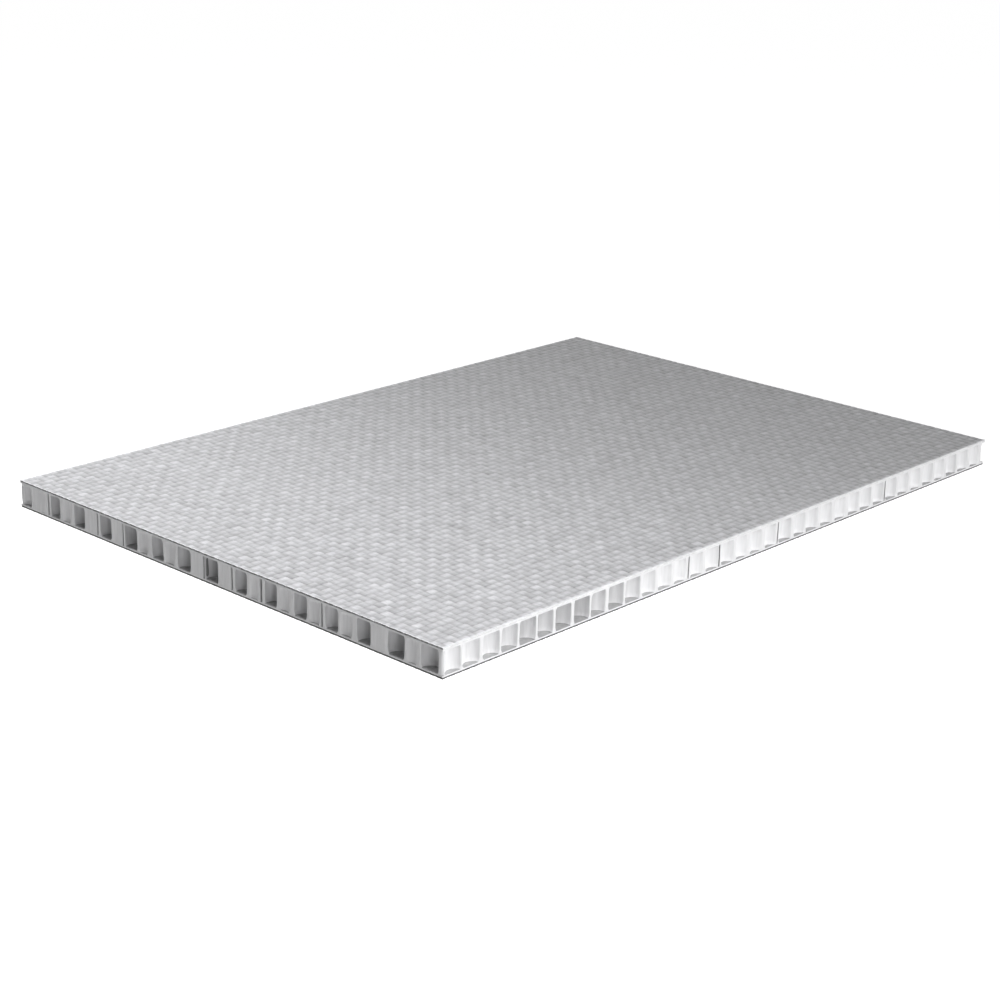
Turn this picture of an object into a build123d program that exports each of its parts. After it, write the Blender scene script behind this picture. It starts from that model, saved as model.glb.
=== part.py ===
from build123d import *
import math
import os

# Sandwich panel: a tubular polypropylene honeycomb between two woven face sheets.
# The origin is the middle of the underside, X runs along the long edges and Z is up.
# All sizes are in millimetres.

# Overall size and the layers, from the outside in
panel_length = 297.0
panel_width = 210.0
sheet_thickness = 0.6
film_thickness = 0.5
core_height = 7.8

# Honeycomb tubes, standing on end in staggered rows along X
tube_pitch = 8.165
tube_wall = 0.37
weld_overlap = 0.35
first_row_inset = -1.15
first_tube_inset = 4.24

# Weave of the face sheets: one ridge for each roving
roving_pitch = 3.3
groove_width = 0.9
groove_depth = 0.12

# Derived sizes of one tube and of the three-sided pocket between three tubes
row_pitch = tube_pitch * math.sqrt(3) / 2
tube_radius = (tube_pitch + weld_overlap) / 2
bore_radius = tube_radius - tube_wall
pocket_inradius = tube_pitch / math.sqrt(3) - tube_radius
pocket_reach = 2 * pocket_inradius
pocket_setback = row_pitch / 3

# Derived levels, measured up from the underside
bottom_film_level = sheet_thickness
core_level = bottom_film_level + film_thickness
top_film_level = core_level + core_height
top_sheet_level = top_film_level + film_thickness
panel_thickness = top_sheet_level + sheet_thickness


def tube_axes():
    """Axes of all the tubes that the panel holds or cuts, row after row"""
    front = -panel_width / 2 + first_row_inset
    left = -panel_length / 2 + first_tube_inset
    row_count = math.ceil(panel_width / row_pitch) + 3
    column_count = math.ceil(panel_length / tube_pitch) + 4
    axes = []
    for row in range(-1, row_count):
        stagger = tube_pitch / 2 * (row % 2)
        for column in range(-2, column_count):
            axes.append((left + stagger + column * tube_pitch, front + row * row_pitch))
    return axes


def crosses_edge(x, y, reach):
    """True where a round bore of that radius is cut open by an edge of the panel"""
    meets = abs(x) < panel_length / 2 + reach and abs(y) < panel_width / 2 + reach
    clear = abs(x) < panel_length / 2 - reach and abs(y) < panel_width / 2 - reach
    return meets and not clear


def inside_panel(point):
    """True for a point within the outline of the panel"""
    return abs(point[0]) < panel_length / 2 and abs(point[1]) < panel_width / 2


def beside(centre, distance, heading):
    """The point at a distance from a centre, in a direction given in degrees"""
    turn = math.radians(heading)
    return (centre[0] + distance * math.cos(turn), centre[1] + distance * math.sin(turn))


def corner_tip(x, y):
    """The tip of a panel corner, which falls out where one cell opens on both of its edges"""
    to_side = panel_length / 2 - abs(x)
    to_end = panel_width / 2 - abs(y)
    if not (0 < to_side < bore_radius and 0 < to_end < bore_radius):
        return []
    middle = Pos(math.copysign(abs(x) + to_side / 2, x), math.copysign(abs(y) + to_end / 2, y))
    return [middle * Rectangle(to_side, to_end)]


def cut_bores():
    """The round cells that the saw has opened"""
    cuts = []
    for x, y in tube_axes():
        if crosses_edge(x, y, bore_radius):
            cuts.append(Pos(x, y) * Circle(bore_radius))
            cuts += corner_tip(x, y)
    return cuts


def pocket(centre, heading):
    """The three-sided gap between three welded tubes, with one corner towards the heading"""
    corners = [beside(centre, pocket_reach, heading + turn) for turn in (0, 120, 240)]
    if len({inside_panel(corner) for corner in corners}) == 1:
        return []
    return [Polygon(*corners, align=None)]


def cut_pockets():
    """The gaps between the tubes that the saw has opened, two beside each tube"""
    cuts = []
    for x, y in tube_axes():
        middle = x + tube_pitch / 2
        cuts += pocket((middle, y + pocket_setback), -90)
        cuts += pocket((middle, y - pocket_setback), 90)
    return cuts


def honeycomb_core():
    """The tube block, with every cell and gap along its four sawn edges open"""
    outline = Rectangle(panel_length, panel_width)
    section = outline - cut_bores() - cut_pockets()
    return Pos(0, 0, core_level) * extrude(section, core_height)


def bond_film(level):
    """One flat layer of fused polypropylene"""
    return Pos(0, 0, level) * extrude(Rectangle(panel_length, panel_width), film_thickness)


def face_sheet():
    """One woven sheet lying on Z = 0, with a groove between each two ridges of its top"""
    half_count = math.floor(panel_width / 2 / roving_pitch + 0.5)
    lip = groove_width / 2
    groove = Polygon((-lip, 0), (0, -groove_depth), (lip, 0), align=None)
    places = [(i + 0.5) * roving_pitch for i in range(-half_count, half_count)]
    section = Rectangle(panel_width, sheet_thickness, align=(Align.CENTER, Align.MIN))
    section -= [Pos(place, sheet_thickness) * groove for place in places]
    across = Plane(origin=(-panel_length / 2, 0, 0), x_dir=(0, 1, 0), z_dir=(1, 0, 0))
    return extrude(across * section, panel_length)


def panel_layers():
    """The five bonded layers, by node name"""
    upper = Pos(0, 0, top_sheet_level) * face_sheet()
    lower = Pos(0, 0, sheet_thickness) * Rot(180, 0, 0) * face_sheet()
    return {
        "bottom_face_sheet": lower,
        "bottom_bond_film": bond_film(bottom_film_level),
        "honeycomb_core": honeycomb_core(),
        "top_bond_film": bond_film(top_film_level),
        "top_face_sheet": upper,
    }


os.makedirs("parts", exist_ok=True)
for name, layer in panel_layers().items():
    layer.label = name
    export_step(layer, f"parts/{name}.step")
    print(name, "solids", len(layer.solids()), "volume", round(layer.volume, 1))
print("panel thickness", round(panel_thickness, 3))
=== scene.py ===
import math

import bpy
import numpy as np
from mathutils import Matrix, Vector


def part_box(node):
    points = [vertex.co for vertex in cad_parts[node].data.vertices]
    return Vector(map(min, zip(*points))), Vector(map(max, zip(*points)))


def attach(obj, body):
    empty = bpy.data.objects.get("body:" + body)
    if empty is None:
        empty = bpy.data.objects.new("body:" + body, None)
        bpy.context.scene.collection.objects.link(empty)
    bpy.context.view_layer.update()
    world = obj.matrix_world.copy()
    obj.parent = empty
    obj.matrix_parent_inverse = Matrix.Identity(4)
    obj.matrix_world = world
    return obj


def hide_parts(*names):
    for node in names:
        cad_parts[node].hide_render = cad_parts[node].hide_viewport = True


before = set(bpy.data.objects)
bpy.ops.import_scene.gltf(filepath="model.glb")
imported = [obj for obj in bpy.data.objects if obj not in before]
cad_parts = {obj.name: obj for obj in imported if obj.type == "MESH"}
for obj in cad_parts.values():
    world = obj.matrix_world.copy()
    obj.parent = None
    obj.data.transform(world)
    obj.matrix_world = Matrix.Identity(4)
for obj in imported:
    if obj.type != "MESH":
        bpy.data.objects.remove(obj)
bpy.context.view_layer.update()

# The panel's own sizes, read from the frame and turned into millimetres
MM = 0.001
TOP_LOW, TOP_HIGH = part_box("top_face_sheet")
BASE_LOW, BASE_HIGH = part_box("bottom_face_sheet")
CORE_LOW, CORE_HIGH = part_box("honeycomb_core")
HALF_LENGTH = TOP_HIGH[0] / MM
HALF_WIDTH = TOP_HIGH[1] / MM
LENGTH = 2 * HALF_LENGTH
WIDTH = 2 * HALF_WIDTH
SHEET = (TOP_HIGH[2] - TOP_LOW[2]) / MM
CORE_BASE = CORE_LOW[2] / MM
CORE_HEIGHT = (CORE_HIGH[2] - CORE_LOW[2]) / MM

# Weave of the face sheets, in millimetres
ROVING_ALONG_Y = 3.25         # spacing along X of the rovings that run along Y
ROVING_ALONG_X = 3.3          # spacing along Y of the rovings that run along X
SPACING_SCATTER = 0.035       # how uneven the spacing is, as a share of it
PAD_STEPS = (0.0, 0.1, 0.5, 0.9)     # where each roving's width is sampled
DIVE = 0.2                    # how far an upper roving falls towards its ends
DIVE_POWER = 0.85             # a power below 1 makes its crown flatter than a sine wave
GROOVE = 0.12                 # how deep the slit beside it is
GROOVE_POWER = 0.06           # so low that the roving is nearly flat across, and steep at its sides
PAD_SINK = 0.04               # how much lower a pad lies at most, by chance
PAD_LEAN = 0.06               # how much a pad leans, by chance
DEEPEST = 0.5 * SHEET         # no point of the weave lies lower than this
ROVING_WANDER = 0.16          # how far a roving strays from a straight line
WANDER_WAVES = ((61.0, 0.5), (23.0, 0.32), (9.5, 0.18))     # each wave's length, and its share
WANDER_FADE = 3.0             # the straying ends over this distance from the rim

# Tone of the weave, from 0 for the darkest slit to 1 for the pale rim; it holds painted shade in the slits,
# a painted sheen on the rovings along Y and a painted highlight on the rim
CREST_TONE = 0.65
# painted shade: how much darker the weave is painted towards its slits
SLIT_PAINTED_SHADE = 0.5
TONE_SCATTER = 0.045
ROVING_PAINTED_SHEEN = 0.055       # painted sheen: how much paler the rovings along Y are painted than those along X
# the rim's tone: a pale sawn burr with a painted highlight
RIM_BURR_AND_PAINTED_HIGHLIGHT = 1.0

# Rim and cut edge of the face sheets, in millimetres
RIM_WIDTH = 0.3               # the pale burr that the saw left along the rim, with a painted highlight on it
RIM_CLEARANCE = 0.12          # no other grid line lies nearer to the burr
RIM_DEPTH_SHARE = 0.6         # the weave is shallower in the burr
TOP_UNDERCUT = 0.06           # how far the top sheet's edge slopes in towards its underside
BASE_BEVEL = 0.04             # how far the bottom sheet's edge slopes in towards the floor
TORN_LEVEL = 0.55             # the ragged line along the cut edge, as a share of the way through
TORN_SCATTER = 0.12

# Honeycomb, in millimetres from the front left corner of the panel
TUBE_PITCH = 8.165
ROW_PITCH = TUBE_PITCH * math.sqrt(3) / 2
RIM_ZONE = 2 * TUBE_PITCH     # tubes farther from every edge can't meet the rim
FIRST_TUBE = 4.24             # place along X of the first tube in the even rows
FIRST_ROW = -1.6              # place along Y of the front row, whose axes lie outside the panel
BORE = 3.68                   # inner radius of a tube
BORE_SPREAD = (0.97, 1.02)    # by chance, a bore has a share of that between these two
LEFT_BORE_SPREAD = (0.84, 1.04)      # the bores that the left edge cuts through are less even
LEFT_COLUMN = 2.0             # their axes are this near to that edge
LEFT_END = 8.0                # and farther than this from its corners
TUBE_OVAL = (0.0, 0.035)      # how far a bore is oval, three-sided and six-sided, as shares of it
TUBE_THREE = (0.0, 0.02)
TUBE_SIX = (0.008, 0.022)
AXIS_SCATTER = 0.26           # how far a tube stands from its place, by chance
AXIS_SCATTER_MOST = 0.5       # but never farther than this
LEAN_SCATTER = 0.14           # how far its top stands from above its foot
THINNEST_WALL = 0.5           # between two opened tubes
THINNEST_GAP_WALL = 0.22      # beside an opened gap
SHRINK = 0.97                 # one step in narrowing two tubes that stand too close
SHRINK_ROUNDS = 12
NARROWEST_MOUTH = 0.35        # a cell that opens less than this stays closed
MOUTH_ROUNDING = 0.14         # how far a cell's rounded mouth reaches along the rim
MOUTH_WALL_SHARE = 1 / 3.5    # but never more than this share of the wall beside it
CORNER_ROUNDING = 1.2         # how much of each side is rounded off at the core's corners

# Melted feet of the tubes, on the floor and under the roof of a cell, in millimetres
MELT_REACH = 1.4              # how far up a wall its melted foot runs
MELT_SPREAD = 0.5             # how much the foot narrows the cell
MELT_RANGE = (0.6, 1.35)      # by chance, a share of that between these two
MOST_MELTED = 0.6             # the share of a cell's radius that a foot takes at most
FOOT_LEVELS = (0.0, 0.025, 0.06, 0.11, 0.17, 0.27, 0.4)     # shares of the height, up to the middle
LEVELS = FOOT_LEVELS + tuple(1 - share for share in reversed(FOOT_LEVELS))

# Where the tubes were pushed out of line, in millimetres
ROW_BOW = 2.4                 # the front rows bend inwards by this, round a middle place along X
ROW_BOW_MIDDLE = 52.0
ROW_BOW_REACH = 34.0
ROW_BOW_FADE = 30.0           # rows farther than this from the front edge are straight
COLUMN_SHIFT = 1.2            # how far the tubes along the left edge stand in from the lattice
COLUMN_WIDTH = 4.0            # those this near the edge stand in all the way
COLUMN_FADE = 12.0            # and farther ones less and less, over this distance
COLUMN_START = 10.0           # from the front corner the shift grows over this distance
OUTER_COLUMN = -2.0           # tubes whose axis lies farther out stand aside along the edge
OUTER_ASIDE = 0.5
CORNER_TUBE = (0.2, WIDTH - 6.5)     # the tube that makes a shallow bay at the back left corner
CORNER_TUBE_SHIFT = (-3.1, 2.6)
CORNER_TUBE_REACH = 5.0       # the shift fades over this distance from there
CORNER_TUBE_PLACE = 3.0       # outer tubes behind a line this far from the back edge are left out

# Gaps between tubes, in millimetres
OPEN_POCKETS = 0.35           # the share of the three-sided gaps that didn't melt shut
POCKET_WAVES = (0.95, 0.65, 0.25)    # mean reach, three-sided part and six-sided part
POCKET_SPREAD = (0.55, 1.1)
POCKET_MELT = 0.3             # gaps narrow less at their feet than tubes do
OPEN_SLITS = 0.85             # the share of the tubes outside the left edge that have a slit beside them
SLIT_COLUMN = -6.0            # tubes farther out than this have none
SLIT_OFFSET = (3.05, 3.35)    # how far from the tube's axis it lies along the edge
SLIT_HALF_WIDTH = (0.3, 0.5)
SLIT_DEPTH = (1.6, 2.6)       # how far it runs in from the edge
SLIT_MELT = 0.2               # slits hardly narrow at their feet
SLIT_LEAN = 0.5               # and lean less

# Points of the core's outline at one level
TUBE_SAMPLES = 96
GAP_SAMPLES = 48
TUBE_POINTS = 22
GAP_POINTS = 8
WALL_POINTS = 4
CORNER_WALL_POINTS = 5        # on each side of a corner of the panel

# Painted shade: how far in from the rim a cell begins to be painted darker, and over which distance, in
# millimetres
TUBE_SHADE = (2.7, 2.8)
GAP_SHADE = (0.0, 0.9)

# The greys have a little less red and green than blue
RED_GREEN_SHARE = 0.988

# Light levels and the floor
AMBIENT = 0.03                # the light that comes from all round
FLOOR_GLOW = 0.98             # how white the floor looks to the camera
FLOOR_GREY = 0.5
FLOOR_REACH = 3000.0          # from the origin to each side, in millimetres

# The photograph's camera: its place in metres, its angles in degrees and its lens in millimetres
CAMERA_PLACE = (-0.5586, -0.5072, 0.2534)
CAMERA_HEADING = 42.89
CAMERA_PITCH = -18.99
CAMERA_ROLL = 1.307
CAMERA_LENS = 77.28
SENSOR_WIDTH = 36.0
CLIP_START = 0.01             # in metres

# The rim of the panel, measured counter-clockwise from its front left corner
AROUND = 2 * (LENGTH + WIDTH)
SIDES = (LENGTH, WIDTH, LENGTH, WIDTH)
CORNERS = (0.0, LENGTH, LENGTH + WIDTH, 2 * LENGTH + WIDTH)
TINY = 1e-6                   # less than this is no distance
HALVINGS = 24                 # steps in finding where a line meets the rim


def new_object(name, vertices, faces, smooth):
    """A mesh object from points in millimetres"""
    mesh = bpy.data.meshes.new(name)
    mesh.from_pydata([tuple(c * MM for c in v) for v in vertices], [], faces)
    mesh.polygons.foreach_set("use_smooth", smooth)
    mesh.update()
    obj = bpy.data.objects.new(name, mesh)
    bpy.context.scene.collection.objects.link(obj)
    return obj


def mark_points(obj, label, values):
    """Gives every point of a mesh a value that its material reads by this label"""
    obj.data.attributes.new(label, "FLOAT", "POINT").data.foreach_set("value", values)


# Weave


def roving_edges(span, pitch, rng):
    """Borders of the rovings across a span that is centred on zero, with some to spare at both ends"""
    count = int(span / pitch) + 4
    edges = (np.arange(count) - count / 2 + 0.5) * pitch
    return edges + rng.normal(0, SPACING_SCATTER * pitch, count)


def sample_lines(edges, half_span):
    """Grid lines at the chosen steps of each roving, ending at the sheet's rim"""
    widths = np.diff(edges)
    lines = (edges[:-1, None] + widths[:, None] * np.array(PAD_STEPS)[None, :]).ravel()
    lines = lines[np.abs(lines) < half_span - RIM_WIDTH - RIM_CLEARANCE]
    ends = np.array([half_span - RIM_WIDTH, half_span])
    lines = np.concatenate([-ends[::-1], lines, ends])
    rovings = np.searchsorted(edges, lines + TINY) - 1
    return lines, (lines - edges[rovings]) / widths[rovings], rovings


def wander(places, seed):
    """A slow, smooth waver along a roving, about 1 at its most"""
    phases = np.random.default_rng(seed).uniform(0, 2 * math.pi, len(WANDER_WAVES))
    return sum(share * np.sin(2 * math.pi * places / length + phase)
               for phase, (length, share) in zip(phases, WANDER_WAVES))


def dive(steps):
    """Fall of an upper roving along its own length, from its crown to both its ends"""
    return DIVE * (1 - np.clip(np.sin(math.pi * steps), 0, None) ** DIVE_POWER)


def shoulder(steps):
    """Fall across a roving's width: nearly flat, then steep at its sides"""
    return GROOVE * (1 - np.clip(np.sin(math.pi * steps), 0, None) ** GROOVE_POWER)


def weave_surface(seed, inset):
    """Grid of a plain weave: places in X and Y, depth below the crests, tone and the upper roving's run"""
    rng = np.random.default_rng(seed)
    edges_x = roving_edges(LENGTH, ROVING_ALONG_Y, rng)
    edges_y = roving_edges(WIDTH, ROVING_ALONG_X, rng)
    xs, step_x, roving_x = sample_lines(edges_x, HALF_LENGTH - inset)
    ys, step_y, roving_y = sample_lines(edges_y, HALF_WIDTH - inset)
    at_pad = np.ix_(roving_x, roving_y)

    runs_along_x = (roving_x[:, None] + roving_y[None, :]) % 2 == 0
    depth = np.where(runs_along_x,
                     dive(step_x)[:, None] + shoulder(step_y)[None, :],
                     shoulder(step_x)[:, None] + dive(step_y)[None, :])
    pads = (len(edges_x), len(edges_y))
    sunk = rng.uniform(0.0, PAD_SINK, pads)[at_pad]
    lean_x = rng.normal(0, PAD_LEAN, pads)[at_pad] * (step_x[:, None] - 0.5)
    lean_y = rng.normal(0, PAD_LEAN, pads)[at_pad] * (step_y[None, :] - 0.5)
    depth = np.clip(depth + sunk + lean_x + lean_y, 0, DEEPEST)
    # Painted shade: the deeper a point lies in the weave, the darker it is painted
    tone = CREST_TONE - SLIT_PAINTED_SHADE * depth / (DIVE + GROOVE)
    tone = tone + rng.normal(0, TONE_SCATTER, pads)[at_pad]
    # Painted sheen: the rovings along Y are painted paler than those along X
    tone = tone + np.where(runs_along_x, -ROVING_PAINTED_SHEEN, ROVING_PAINTED_SHEEN)
    # The rim gets its own tone, a pale burr with a painted highlight, and a shallower weave
    for rim in (np.s_[:2, :], np.s_[-2:, :], np.s_[:, :2], np.s_[:, -2:]):
        tone[rim] = RIM_BURR_AND_PAINTED_HIGHLIGHT
        depth[rim] *= RIM_DEPTH_SHARE

    grid_x, grid_y = np.meshgrid(xs, ys, indexing="ij")
    to_rim = np.minimum(HALF_LENGTH - inset - np.abs(grid_x), HALF_WIDTH - inset - np.abs(grid_y))
    free = ROVING_WANDER * np.clip(to_rim / WANDER_FADE, 0, 1)
    grid_x = grid_x + free * np.stack([wander(ys, seed * 1000 + k) for k in roving_x])
    grid_y = grid_y + free * np.stack([wander(xs, seed * 2000 + k) for k in roving_y], axis=1)
    return grid_x, grid_y, depth, tone, runs_along_x


def grid_faces(columns, rows):
    """Faces of a grid whose points are stored column by column"""
    faces = []
    for i in range(columns - 1):
        for j in range(rows - 1):
            k = i * rows + j
            faces.append((k, k + rows, k + rows + 1, k + 1))
    return faces


def rim_loop(columns, rows):
    """Grid indices round the rim of a grid, counter-clockwise"""
    loop = [(i, 0) for i in range(columns)]
    loop += [(columns - 1, j) for j in range(1, rows)]
    loop += [(i, rows - 1) for i in range(columns - 2, -1, -1)]
    loop += [(0, j) for j in range(rows - 2, 0, -1)]
    return loop


def cut_edge_place(x, y, share, insets):
    """A rim point of the face, carried part of the way to its place at the back of the cut edge"""
    face_inset, back_inset = insets
    shift = (back_inset - face_inset) * share
    if abs(x) > HALF_LENGTH - face_inset - TINY:
        x -= math.copysign(shift, x)
    if abs(y) > HALF_WIDTH - face_inset - TINY:
        y -= math.copysign(shift, y)
    return x, y


def woven_sheet(name, node, levels, insets, finishes, seed):
    """A closed woven sheet. Levels, rim insets and finishes are for its face first, then for its back"""
    face_level, back_level = levels
    grid_x, grid_y, depth, tone, runs_along_x = weave_surface(seed, insets[0])
    columns, rows = grid_x.shape
    heights = face_level + math.copysign(1, back_level - face_level) * depth
    vertices = list(zip(grid_x.ravel(), grid_y.ravel(), heights.ravel()))
    tones = list(tone.ravel())
    turns = list(runs_along_x.ravel().astype(float))
    faces = grid_faces(columns, rows)
    face_count = len(faces)

    loop = rim_loop(columns, rows)
    ring = [i * rows + j for i, j in loop]
    # The sheet's edge has a material of its own, which carries painted shade, so the tone and the turn of
    # its points don't show
    torn = np.random.default_rng(seed + 50).uniform(-TORN_SCATTER, TORN_SCATTER, len(loop))
    for share, ragged in ((TORN_LEVEL, 1.0), (1.0, 0.0)):
        below = range(len(vertices), len(vertices) + len(loop))
        for (i, j), rough in zip(loop, torn):
            x, y = cut_edge_place(grid_x[i, j], grid_y[i, j], share + rough * ragged, insets)
            vertices.append((x, y, heights[i, j] + (back_level - heights[i, j]) * share))
            tones.append(0.5)
            turns.append(0.0)
        for k in range(len(ring)):
            n = (k + 1) % len(ring)
            faces.append((ring[k], below[k], below[n], ring[n]))
        ring = list(below)
    faces.append(tuple(reversed(ring)))
    if face_level < back_level:
        faces = [tuple(reversed(face)) for face in faces]

    on_face = [k < face_count for k in range(len(faces))]
    sheet = new_object(name, vertices, faces, on_face)
    mark_points(sheet, "weave_tone_and_painted_light", tones)
    mark_points(sheet, "weave_turn", turns)
    for finish in finishes:
        sheet.data.materials.append(finish)
    sheet.data.polygons.foreach_set("material_index", [0 if flag else 1 for flag in on_face])
    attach(sheet, "root")
    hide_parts(node)
    return sheet


# Places on the rim, with X and Y measured from the front left corner


def inside(points):
    """Which of the points lie within the outline of the panel"""
    return ((points[:, 0] > 0) & (points[:, 0] < LENGTH) & (points[:, 1] > 0) & (points[:, 1] < WIDTH))


def rim_place(x, y):
    """Distance round the panel of a point on its rim"""
    gaps = (abs(y), abs(x - LENGTH), abs(y - WIDTH), abs(x))
    side = gaps.index(min(gaps))
    return (x, LENGTH + y, LENGTH + WIDTH + (LENGTH - x), 2 * LENGTH + WIDTH + (WIDTH - y))[side]


def rim_point(place):
    """The rim point at that distance round the panel, whose corners are slightly rounded"""
    place = place % AROUND
    for side, length in enumerate(SIDES):
        if place < length:
            break
        place -= length
    to_corner = min(place, length - place)
    along, depth = place, 0.0
    if to_corner < CORNER_ROUNDING:
        turn = math.radians(45) * (1 - to_corner / CORNER_ROUNDING)
        along = CORNER_ROUNDING * (1 - math.sin(turn))
        along = along if place < length / 2 else length - along
        depth = CORNER_ROUNDING * (1 - math.cos(turn))
    return ((along, depth), (LENGTH - depth, along),
            (LENGTH - along, WIDTH - depth), (depth, WIDTH - along))[side]


def signed_way(distance):
    """A distance round the rim as the shorter way, below zero where that runs clockwise"""
    return (distance + AROUND / 2) % AROUND - AROUND / 2


def crossing(outer, inner):
    """Where the line from a point outside the panel to one inside it meets the rim"""
    low, high = 0.0, 1.0
    for _ in range(HALVINGS):
        middle = (low + high) / 2
        if inside((outer + (inner - outer) * middle)[None, :])[0]:
            high = middle
        else:
            low = middle
    return outer + (inner - outer) * high


def bite(curve):
    """The part of a closed curve that lies in the panel, from rim to rim, or None"""
    within = inside(curve)
    if within.all() or not within.any():
        return None
    count = len(curve)
    starts = [k for k in range(count) if within[k] and not within[k - 1]]
    if len(starts) != 1:
        return None
    run = [crossing(curve[starts[0] - 1], curve[starts[0]])]
    k = starts[0]
    while within[k % count]:
        run.append(curve[k % count])
        k += 1
    run.append(crossing(curve[k % count], curve[(k - 1) % count]))
    return np.array(run[::-1])


def resample(points, count, trim):
    """Evenly spaced points along a polyline, short of its ends by the trim or a fifth of its length"""
    steps = np.linalg.norm(np.diff(points, axis=0), axis=1)
    reach = np.concatenate([[0], np.cumsum(steps)])
    trim = min(trim, reach[-1] * 0.2)
    wanted = np.linspace(trim, reach[-1] - trim, count)
    return np.stack([np.interp(wanted, reach, points[:, axis]) for axis in (0, 1)], axis=1)


# Cells and gaps of the honeycomb


class Cell:
    """A tube, or a gap between tubes, that may open on the rim"""

    def __init__(self, shape, centre, melt, lean, is_tube):
        self.shape = shape              # its outline, measured from its centre
        self.centre = np.array(centre)
        self.melt = melt                # how much its foot and its head narrow it
        self.lean = lean                # how far its top stands from above its foot
        self.is_tube = is_tube

    def narrowing(self, share):
        """How much melted plastic narrows it at a share of the core's height"""
        foot = max(0.0, 1 - share * CORE_HEIGHT / MELT_REACH) ** 2
        head = max(0.0, 1 - (1 - share) * CORE_HEIGHT / MELT_REACH) ** 2
        return self.melt[0] * foot + self.melt[1] * head

    def outline(self, share):
        """Its closed outline at a share of the core's height"""
        reach = np.linalg.norm(self.shape, axis=1, keepdims=True)
        narrow = np.minimum(self.narrowing(share), MOST_MELTED * reach)
        return self.shape * (1 - narrow / reach) + self.centre + self.lean * (share - 0.5)


class Opening:
    """A cell that the rim cuts open: at every level its wall, and where that starts and ends on the rim"""

    def __init__(self, cell, walls, spans):
        self.cell = cell
        self.walls = walls
        self.spans = spans

    def place(self):
        """Where it starts on the rim, halfway up the core"""
        return self.spans[len(LEVELS) // 2][0] % AROUND


def row_bow(x):
    """How far the rows bend inwards near the front edge, where the tubes were pushed aside"""
    return ROW_BOW * math.exp(-((x - ROW_BOW_MIDDLE) / ROW_BOW_REACH) ** 4)


def out_of_line(x, y):
    """How far a tube stands from its place in the lattice, along X and along Y"""
    from_left = max(0.0, abs(x) - COLUMN_WIDTH)
    from_front = max(0.0, y / COLUMN_START)
    inwards = COLUMN_SHIFT * max(0.0, 1 - from_left / COLUMN_FADE) * min(1.0, from_front)
    bowed = row_bow(x) * max(0.0, 1 - abs(y) / ROW_BOW_FADE)
    aside = OUTER_ASIDE if x < OUTER_COLUMN else 0.0
    at_corner = max(0.0, 1 - math.dist((x, y), CORNER_TUBE) / CORNER_TUBE_REACH)
    return inwards + CORNER_TUBE_SHIFT[0] * at_corner, bowed + CORNER_TUBE_SHIFT[1] * at_corner + aside


def turns_and_rays(samples):
    """Angles once round a circle, and the unit vector at each"""
    turns = np.linspace(0, 2 * math.pi, samples, endpoint=False)
    return turns, np.stack([np.cos(turns), np.sin(turns)], axis=1)


def tube_shape(radius, rng):
    """A round tube pressed out of true by its neighbours"""
    turns, rays = turns_and_rays(TUBE_SAMPLES)
    oval, three, six = (rng.uniform(*limits) for limits in (TUBE_OVAL, TUBE_THREE, TUBE_SIX))
    oval_phase, three_phase = rng.uniform(0, 2 * math.pi, 2)
    shape = 1 + oval * np.cos(2 * turns - oval_phase) + three * np.cos(3 * turns - three_phase)
    shape = shape - six * np.cos(6 * turns)
    return rays * (radius * shape)[:, None]


def pocket_shape(heading, rng):
    """The three-sided gap between three tubes, with one corner towards the heading"""
    turns, rays = turns_and_rays(GAP_SAMPLES)
    mean, three, six = POCKET_WAVES
    reach = mean + three * np.cos(3 * (turns - heading)) + six * np.cos(6 * (turns - heading))
    return rays * (reach * rng.uniform(*POCKET_SPREAD))[:, None]


def slit_shape(rng):
    """A narrow gap between two tubes that didn't quite meet, running in from the left edge"""
    _, rays = turns_and_rays(GAP_SAMPLES)
    half_width = rng.uniform(*SLIT_HALF_WIDTH)
    return rays * np.array([rng.uniform(*SLIT_DEPTH), half_width])


def cells_round(x, y, rng):
    """The tube at a place in the lattice, and the open gaps beside it"""
    jitter = np.clip(rng.normal(0, AXIS_SCATTER, 2), -AXIS_SCATTER_MOST, AXIS_SCATTER_MOST)
    lean = rng.normal(0, LEAN_SCATTER, 2)
    melt = MELT_SPREAD * rng.uniform(*MELT_RANGE, 2)
    own = np.random.default_rng(rng.integers(1 << 30))
    near = min(abs(x), abs(x - LENGTH), abs(y), abs(y - WIDTH))
    beside_corner_tube = x < OUTER_COLUMN and y > WIDTH - CORNER_TUBE_PLACE
    if near > RIM_ZONE or beside_corner_tube:
        return []

    shift_x, shift_y = out_of_line(x, y)
    middle = np.array((x + shift_x, y + shift_y))
    at_left = abs(x) < LEFT_COLUMN and LEFT_END < y < WIDTH - LEFT_END
    bore = BORE * own.uniform(*(LEFT_BORE_SPREAD if at_left else BORE_SPREAD))
    cells = [Cell(tube_shape(bore, own), middle + jitter, melt, lean, is_tube=True)]
    if SLIT_COLUMN < x < OUTER_COLUMN and own.random() < OPEN_SLITS:
        centre = (0.0, middle[1] - own.uniform(*SLIT_OFFSET))
        cells.append(Cell(slit_shape(own), centre, melt * SLIT_MELT, lean * SLIT_LEAN, is_tube=False))
    for side, heading in ((1, -math.pi / 2), (-1, math.pi / 2)):
        if own.random() > OPEN_POCKETS:
            continue
        centre = middle + np.array((TUBE_PITCH / 2, side * ROW_PITCH / 3))
        cells.append(Cell(pocket_shape(heading, own), centre, melt * POCKET_MELT, lean, is_tube=False))
    return cells


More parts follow.
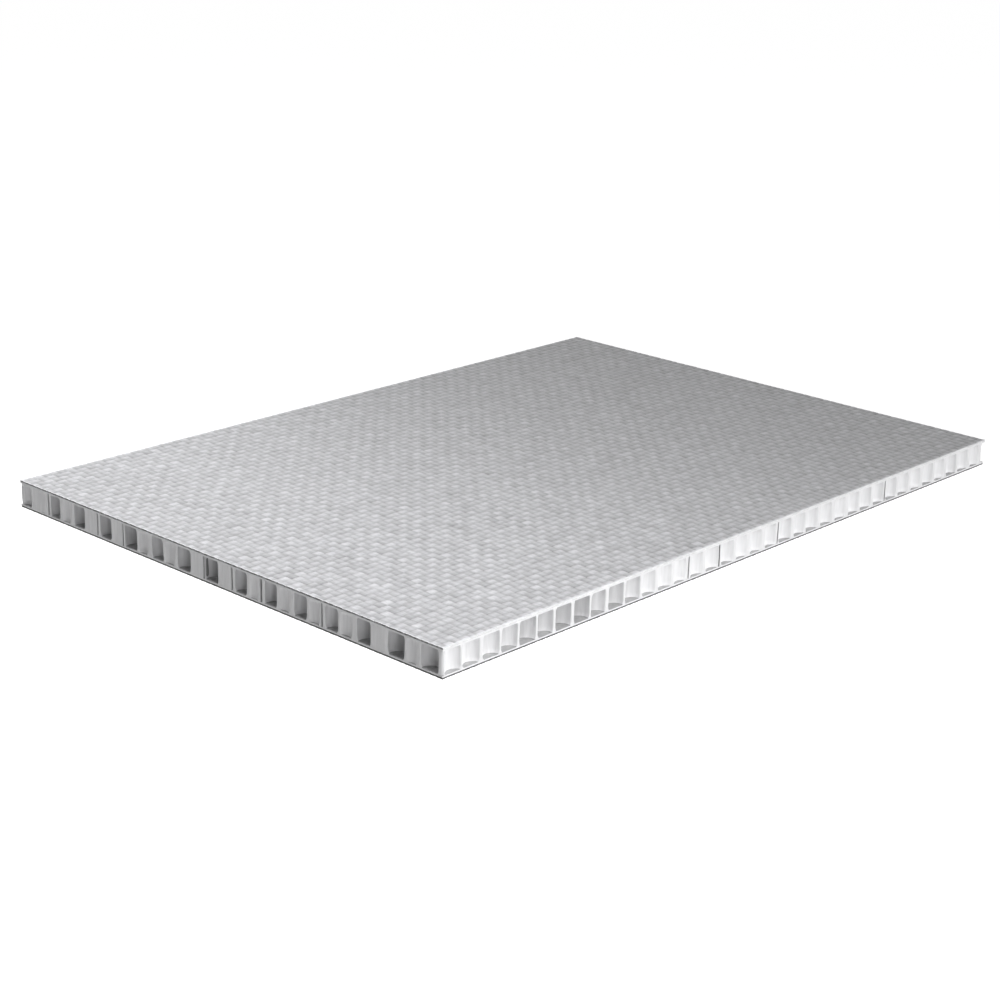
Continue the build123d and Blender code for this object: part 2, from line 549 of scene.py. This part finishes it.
def lattice_cells(rng):
    """Every cell and gap that may meet the rim, row after row"""
    cells = []
    for row in range(-1, int(WIDTH / ROW_PITCH) + 3):
        for column in range(-2, int(LENGTH / TUBE_PITCH) + 4):
            x = FIRST_TUBE + TUBE_PITCH / 2 * (row % 2) + column * TUBE_PITCH
            cells += cells_round(x, FIRST_ROW + row * ROW_PITCH, rng)
    return cells


# Openings on the rim


def counter_clockwise(wall):
    """A wall whose points follow the rim counter-clockwise, and the span of the rim that it opens"""
    start, end = rim_place(*wall[0]), rim_place(*wall[-1])
    if (end - start) % AROUND < AROUND / 2:
        return wall, (start, end)
    return wall[::-1], (end, start)


def cut_open(cell):
    """Where the rim cuts a cell open, or None where it doesn't do so at every level"""
    bites = [bite(cell.outline(share)) for share in LEVELS]
    if any(wall is None for wall in bites):
        return None
    walls, spans = zip(*[counter_clockwise(wall) for wall in bites])
    if min((end - start) % AROUND for start, end in spans) < NARROWEST_MOUTH:
        return None
    first = spans[0][0]
    spans = [tuple(first + signed_way(place - first) for place in span) for span in spans]
    return Opening(cell, walls, spans)


def opened(cells):
    """The openings of those cells that the rim cuts open, in their order round it"""
    openings = [found for found in (cut_open(cell) for cell in cells) if found]
    return sorted(openings, key=Opening.place)


def neighbours(openings):
    """Each opening with the next one round the rim"""
    return zip(openings, openings[1:] + openings[:1])


def thin_walls(openings, least):
    """The pairs of neighbours that leave a wall between them thinner than the least"""
    thin = []
    for before, after in neighbours(openings):
        walls = [signed_way(start - end) for (_, end), (start, _) in zip(before.spans, after.spans)]
        if min(walls) < least:
            thin.append((before, after))
    return thin


def opened_tubes(tubes):
    """The openings of the tubes, narrowed where two stand too close"""
    for _ in range(SHRINK_ROUNDS):
        openings = opened(tubes)
        tight = thin_walls(openings, THINNEST_WALL)
        if not tight:
            break
        for pair in tight:
            for narrowed in pair:
                narrowed.cell.shape = narrowed.cell.shape * SHRINK
    return openings


def without_crowding(openings):
    """The openings without the gaps that would leave too thin a wall beside them"""
    crowded = thin_walls(openings, THINNEST_GAP_WALL)
    while crowded:
        dropped = min(crowded[0], key=lambda opening: opening.cell.is_tube)
        openings = [kept for kept in openings if kept is not dropped]
        crowded = thin_walls(openings, THINNEST_GAP_WALL)
    return openings


def corner_between(before, after):
    """The corner of the panel that lies in the wall between two openings, or None"""
    found = None
    for (_, end), (start, _) in zip(before.spans, after.spans):
        for corner in CORNERS:
            if 0 < (corner - end) % AROUND < (start - end) % AROUND:
                found = corner
    return found


def wall_places(start, end, corner):
    """Places of a wall's points along the rim, with the panel's corner among them where it has one"""
    if corner is None:
        return np.linspace(start, end, WALL_POINTS)
    turned = start + (corner - start) % AROUND
    if turned >= end:
        return np.linspace(start, end, 2 * CORNER_WALL_POINTS - 1)
    to_corner = np.linspace(start, turned, CORNER_WALL_POINTS)
    return np.concatenate([to_corner, np.linspace(turned, end, CORNER_WALL_POINTS)[1:]])


# The core


def shade(x, y, is_tube):
    """How deep in a cell a point lies, from 0 near the rim to 1 where its painted shade is darkest"""
    to_rim = min(x, LENGTH - x, y, WIDTH - y)
    begins, reach = TUBE_SHADE if is_tube else GAP_SHADE
    return float(np.clip((to_rim - begins) / reach, 0, 1))


def core_ring(openings, corners, level):
    """The core's outline at one level: each point's X and Y, then how far it is sawn, welded and deep, the
    weld and the depth being where shade is painted
    """
    welded = float(level in (0, len(LEVELS) - 1))
    ring = []
    for (opening, after), corner in zip(neighbours(openings), corners):
        is_tube = opening.cell.is_tube
        end = opening.spans[level][1]
        start = end + (after.spans[level][0] - end) % AROUND
        rounding = min(MOUTH_ROUNDING, (start - end) * MOUTH_WALL_SHARE)
        for x, y in resample(opening.walls[level], TUBE_POINTS if is_tube else GAP_POINTS, rounding):
            ring.append((x, y, 0.0, welded, shade(x, y, is_tube)))
        for place in wall_places(end + rounding, start - rounding, corner):
            ring.append((*rim_point(place), 1.0, 0.0, 0.0))
    return ring


def stacked_faces(count, levels):
    """Faces of a closed tube of rings with that many points each, then its floor and its roof"""
    faces = []
    for first in range(0, count * (levels - 1), count):
        for a in range(count):
            b = (a + 1) % count
            faces.append((first + a, first + b, first + count + b, first + count + a))
    faces.append(tuple(reversed(range(count))))
    faces.append(tuple(range(count * (levels - 1), count * levels)))
    return faces


def honeycomb(name, node, finish, seed):
    """The core as one closed solid, its rim opened by every cell and gap that the saw crossed"""
    cells = lattice_cells(np.random.default_rng(seed))
    tubes = opened_tubes([cell for cell in cells if cell.is_tube])
    gaps = opened([cell for cell in cells if not cell.is_tube])
    openings = without_crowding(sorted(tubes + gaps, key=Opening.place))
    corners = [corner_between(*pair) for pair in neighbours(openings)]

    rings = [core_ring(openings, corners, level) for level in range(len(LEVELS))]
    count = len(rings[0])
    if any(len(ring) != count for ring in rings):
        raise RuntimeError("the core's rings don't all have the same number of points")
    vertices = []
    for share, ring in zip(LEVELS, rings):
        height = CORE_BASE + share * CORE_HEIGHT
        vertices += [(x - HALF_LENGTH, y - HALF_WIDTH, height) for x, y, *_ in ring]
    faces = stacked_faces(count, len(LEVELS))
    core = new_object(name, vertices, faces, [True] * (len(faces) - 2) + [False, False])
    # The weld and the depth mark where the material paints shade
    for column, label in enumerate(("sawn", "weld", "depth"), start=2):
        mark_points(core, label, [point[column] for ring in rings for point in ring])
    core.data.materials.append(finish)
    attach(core, "root")
    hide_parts(node)
    return core


# Materials


class Finish:
    """A procedural material being built, with short ways to add nodes to it"""

    def __init__(self, name, roughness):
        self.material = bpy.data.materials.new(name)
        self.material.use_nodes = True
        self.nodes = self.material.node_tree.nodes
        self.links = self.material.node_tree.links
        self.shader = self.nodes["Principled BSDF"]
        self.shader.inputs["Roughness"].default_value = roughness
        self.place = self.nodes.new("ShaderNodeTexCoord").outputs["Object"]

    def noise(self, size, detail=3.0):
        """Noise whose features have these sizes in millimetres along X, Y and Z"""
        stretch = self.nodes.new("ShaderNodeMapping")
        stretch.inputs["Scale"].default_value = [1 / (MM * length) for length in size]
        self.links.new(self.place, stretch.inputs["Vector"])
        texture = self.nodes.new("ShaderNodeTexNoise")
        texture.inputs["Scale"].default_value = 1.0
        texture.inputs["Detail"].default_value = detail
        self.links.new(stretch.outputs["Vector"], texture.inputs["Vector"])
        return texture.outputs["Fac"]

    def attribute(self, name):
        """A value that the mesh carries at its points"""
        reader = self.nodes.new("ShaderNodeAttribute")
        reader.attribute_name = name
        return reader.outputs["Fac"]

    def facing(self, axis):
        """How squarely the surface faces along an axis, from 0 to 1"""
        geometry = self.nodes.new("ShaderNodeNewGeometry")
        split = self.nodes.new("ShaderNodeSeparateXYZ")
        size = self.nodes.new("ShaderNodeMath")
        size.operation = "ABSOLUTE"
        self.links.new(geometry.outputs["True Normal"], split.inputs["Vector"])
        self.links.new(split.outputs[axis], size.inputs[0])
        return size.outputs["Value"]

    def greys(self, factor, *stops):
        """Greys with a trace of blue between stops, each a position and a level"""
        ramp = self.nodes.new("ShaderNodeValToRGB")
        elements = ramp.color_ramp.elements
        while len(elements) < len(stops):
            elements.new(0.5)
        for element, (position, level) in zip(elements, stops):
            element.position = position
            element.color = (level * RED_GREEN_SHARE, level * RED_GREEN_SHARE, level, 1)
        self.links.new(factor, ramp.inputs["Fac"])
        return ramp.outputs["Color"]

    def mottle(self, noise, dark, light, reach=0.2):
        """Greys from dark to light as a noise passes from below its middle to above it"""
        return self.greys(noise, (0.5 - reach, dark), (0.5 + reach, light))

    def blend(self, first, second, kind="RGBA"):
        """A Mix node fed with two outputs, the socket of its factor, and its result"""
        node = self.nodes.new("ShaderNodeMix")
        node.data_type = kind
        factor, *inputs = [socket for socket in node.inputs if socket.enabled]
        for output, socket in zip((first, second), inputs):
            self.links.new(output, socket)
        return node, factor, next(socket for socket in node.outputs if socket.enabled)

    def mix(self, factor, first, second, kind="RGBA"):
        """The first output where the factor is 0 and the second where it is 1"""
        _, factor_socket, result = self.blend(first, second, kind)
        self.links.new(factor, factor_socket)
        return result

    def multiply(self, first, second):
        """The product of two colours"""
        node, factor_socket, result = self.blend(first, second)
        node.blend_type = "MULTIPLY"
        factor_socket.default_value = 1.0
        return result

    def colour(self, output):
        """Takes the output as the surface's colour"""
        self.links.new(output, self.shader.inputs["Base Color"])

    def relief(self, height, depth):
        """Fine relief, its depth in millimetres"""
        bump = self.nodes.new("ShaderNodeBump")
        bump.inputs["Strength"].default_value = 1.0
        bump.inputs["Distance"].default_value = depth * MM
        self.links.new(height, bump.inputs["Height"])
        self.links.new(bump.outputs["Normal"], self.shader.inputs["Normal"])


def laminate_with_painted_light():
    """Glass rovings in clear polypropylene: strands along each roving, painted shade in the darker slits, a
    painted sheen on the rovings along Y and a pale sawn rim with a painted highlight
    """
    finish = Finish("woven_laminate_with_painted_light", roughness=0.3)
    along_x = finish.noise((6.0, 0.5, 2.0))
    along_y = finish.noise((0.5, 6.0, 2.0))
    strands = finish.mix(finish.attribute("weave_turn"), along_y, along_x, kind="FLOAT")
    # The weave's tone, with its painted shade, sheen and highlight, turned into greys
    weave = finish.greys(finish.attribute("weave_tone_and_painted_light"), (0.0, 0.24), (0.5, 0.57), (0.72, 0.75), (1.0, 0.90))
    cloud = finish.mottle(finish.noise((2.4, 2.4, 2.4)), 0.88, 1.0)
    strand_tone = finish.mottle(strands, 0.85, 1.0, reach=0.15)
    finish.colour(finish.multiply(finish.multiply(weave, cloud), strand_tone))
    finish.relief(strands, depth=0.13)
    return finish.material


def cut_edge_with_painted_shade(name, painted_shade_across_x, across_y):
    """A sheet's sawn edge, with painted shade: a dark and a light level for the ends in X and for those in Y
    """
    finish = Finish(name, roughness=0.55)
    grain = finish.noise((1.6, 1.6, 0.5), detail=4.0)
    ends = finish.mottle(grain, *painted_shade_across_x, reach=0.08)
    sides = finish.mottle(grain, *across_y, reach=0.08)
    # The ends in X and in Y are painted at their own levels, which carry the painted shade
    finish.colour(finish.mix(finish.facing("X"), sides, ends))
    finish.relief(grain, depth=0.1)
    return finish.material


def core_with_painted_shade():
    """Milky tubes: streaks up the bores, painted shade deep inside and at the weld, and whiter where sawn"""
    finish = Finish("honeycomb_with_painted_shade", roughness=0.42)
    streaks = finish.noise((0.9, 0.9, 9.0), detail=4.0)
    mouth = finish.mottle(streaks, 0.81, 0.91)
    # Painted shade deep in a cell
    inner = finish.mottle(streaks, 0.27, 0.35)
    wall_end = finish.mottle(streaks, 0.77, 0.88)
    # Painted shade at the weld, where a wall meets the floor and the roof
    foot = finish.mottle(streaks, 0.22, 0.40)
    bore = finish.mix(finish.attribute("depth"), mouth, inner)
    clear = finish.mix(finish.attribute("weld"), bore, foot)
    finish.colour(finish.mix(finish.attribute("sawn"), clear, wall_end))
    finish.relief(streaks, depth=0.12)
    return finish.material


def film_with_painted_shade():
    """Fused polypropylene: pale on its cut edge, and greyer in a cell, partly where the sheet shows through
    and partly as painted shade on the faces that look up or down
    """
    finish = Finish("fused_film_with_painted_shade", roughness=0.4)
    grain = finish.noise((2.0, 2.0, 0.6))
    edge = finish.mottle(grain, 0.80, 0.90)
    floor = finish.mottle(grain, 0.42, 0.56)
    # Faces that look up or down are painted greyer: painted shade on the floors and roofs of the cells,
    # together with the sheet showing through
    finish.colour(finish.mix(finish.facing("Z"), edge, floor))
    finish.relief(grain, depth=0.08)
    return finish.material


# Stage


def white_where_seen(nodes, links, unseen, seen):
    """A strength for what the camera sees, also in gloss or through a clear thing, and one for all else"""
    path = nodes.new("ShaderNodeLightPath")
    total = path.outputs["Is Camera Ray"]
    for ray in ("Is Glossy Ray", "Is Transmission Ray"):
        either = nodes.new("ShaderNodeMath")
        either.operation = "MAXIMUM"
        links.new(total, either.inputs[0])
        links.new(path.outputs[ray], either.inputs[1])
        total = either.outputs["Value"]
    strength = nodes.new("ShaderNodeMapRange")
    strength.inputs["To Min"].default_value = unseen
    strength.inputs["To Max"].default_value = seen
    links.new(total, strength.inputs["Value"])
    return strength.outputs["Result"]


def floor_finish():
    """Grey to the light, and nearly white to the camera"""
    material = bpy.data.materials.new("floor_white")
    material.use_nodes = True
    nodes, links = material.node_tree.nodes, material.node_tree.links
    shader = nodes["Principled BSDF"]
    shader.inputs["Base Color"].default_value = (FLOOR_GREY, FLOOR_GREY, FLOOR_GREY, 1)
    shader.inputs["Roughness"].default_value = 1.0
    shader.inputs["Specular IOR Level"].default_value = 0.0
    glow = nodes.new("ShaderNodeEmission")
    links.new(white_where_seen(nodes, links, 0.0, FLOOR_GLOW), glow.inputs["Strength"])
    both = nodes.new("ShaderNodeAddShader")
    links.new(shader.outputs["BSDF"], both.inputs[0])
    links.new(glow.outputs["Emission"], both.inputs[1])
    links.new(both.outputs["Shader"], nodes["Material Output"].inputs["Surface"])
    return material


def add_floor():
    """A pale floor that keeps the panel's shadow and otherwise reads white to the camera"""
    corners = [(x * FLOOR_REACH, y * FLOOR_REACH, 0) for x, y in ((-1, -1), (1, -1), (1, 1), (-1, 1))]
    floor = new_object("floor", corners, [(0, 1, 2, 3)], [False])
    floor.data.materials.append(floor_finish())


def set_world():
    """White where the camera sees past the floor, and a low, even fill for the object"""
    world = bpy.data.worlds.new("studio")
    world.use_nodes = True
    nodes, links = world.node_tree.nodes, world.node_tree.links
    links.new(white_where_seen(nodes, links, AMBIENT, 1.0), nodes["Background"].inputs["Strength"])
    nodes["Background"].inputs["Color"].default_value = (1, 1, 1, 1)
    bpy.context.scene.world = world


def add_softbox(name, place, target, size, power):
    """A rectangular softbox at a place, turned to a target, all in metres, with its power in watts"""
    light = bpy.data.lights.new(name, "AREA")
    light.shape = "RECTANGLE"
    light.size, light.size_y = size
    light.energy = power
    lamp = bpy.data.objects.new(name, light)
    lamp.location = place
    aim = Vector(target) - Vector(place)
    lamp.rotation_euler = aim.to_track_quat("-Z", "Y").to_euler()
    lamp.visible_camera = False
    bpy.context.scene.collection.objects.link(lamp)


def add_camera():
    """A camera that stands and looks as the photograph's did"""
    heading, pitch, roll = (math.radians(angle) for angle in (CAMERA_HEADING, CAMERA_PITCH, CAMERA_ROLL))
    level = math.cos(pitch)
    forward = Vector((level * math.cos(heading), level * math.sin(heading), math.sin(pitch)))
    turned = forward.to_track_quat("-Z", "Y").to_matrix() @ Matrix.Rotation(roll, 3, "Z")
    camera_data = bpy.data.cameras.new("photo_camera")
    camera_data.lens = CAMERA_LENS
    camera_data.sensor_width = SENSOR_WIDTH
    camera_data.clip_start = CLIP_START
    camera = bpy.data.objects.new("photo_camera", camera_data)
    camera.matrix_world = Matrix.Translation(Vector(CAMERA_PLACE)) @ turned.to_4x4()
    bpy.context.scene.collection.objects.link(camera)
    bpy.context.scene.camera = camera


# The scene


add_camera()
add_floor()
set_world()
add_softbox("top_strip", (-0.142, 0.0, 0.23), (-0.142, 0.0, 0.0), (0.08, 1.6), 2.52)
add_softbox("front_softbox", (0.35, -0.8, 0.085), (0.05, 0.0, 0.0), (1.0, 0.15), 4.1)
add_softbox("left_softbox", (-0.48, -0.75, 0.1), (-0.15, 0.0, 0.0), (0.3, 0.2), 0.8)
add_softbox("back_softbox", (0.1, 0.8, 0.3), (0.0, 0.0, 0.0), (0.8, 0.25), 0.18)

laminate = laminate_with_painted_light()
# The top sheet's cut edge is painted dark on its ends in X: painted shade on the side that the light misses
top_edge_with_painted_shade = cut_edge_with_painted_shade("top_cut_edge_painted_shade", painted_shade_across_x=(0.08, 0.40), across_y=(0.76, 0.90))
# The bottom sheet's cut edge is painted nearly black: a painted contact shadow along the floor
base_edge_painted_shadow = cut_edge_with_painted_shade("base_cut_edge_painted_shadow", painted_shade_across_x=(0.01, 0.03), across_y=(0.02, 0.07))
top_levels = (TOP_HIGH[2] / MM, TOP_LOW[2] / MM)
base_levels = (BASE_LOW[2] / MM, BASE_HIGH[2] / MM)
woven_sheet("top_sheet_weave", "top_face_sheet", top_levels, (0.0, TOP_UNDERCUT),
            (laminate, top_edge_with_painted_shade), seed=3)
woven_sheet("bottom_sheet_weave", "bottom_face_sheet", base_levels, (BASE_BEVEL, 0.0),
            (laminate, base_edge_painted_shadow), seed=4)
honeycomb("honeycomb_cells", "honeycomb_core", core_with_painted_shade(), seed=7)

film = film_with_painted_shade()
for node in ("top_bond_film", "bottom_bond_film"):
    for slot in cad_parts[node].material_slots:
        slot.material = film

bpy.context.scene.view_settings.view_transform = "Standard"
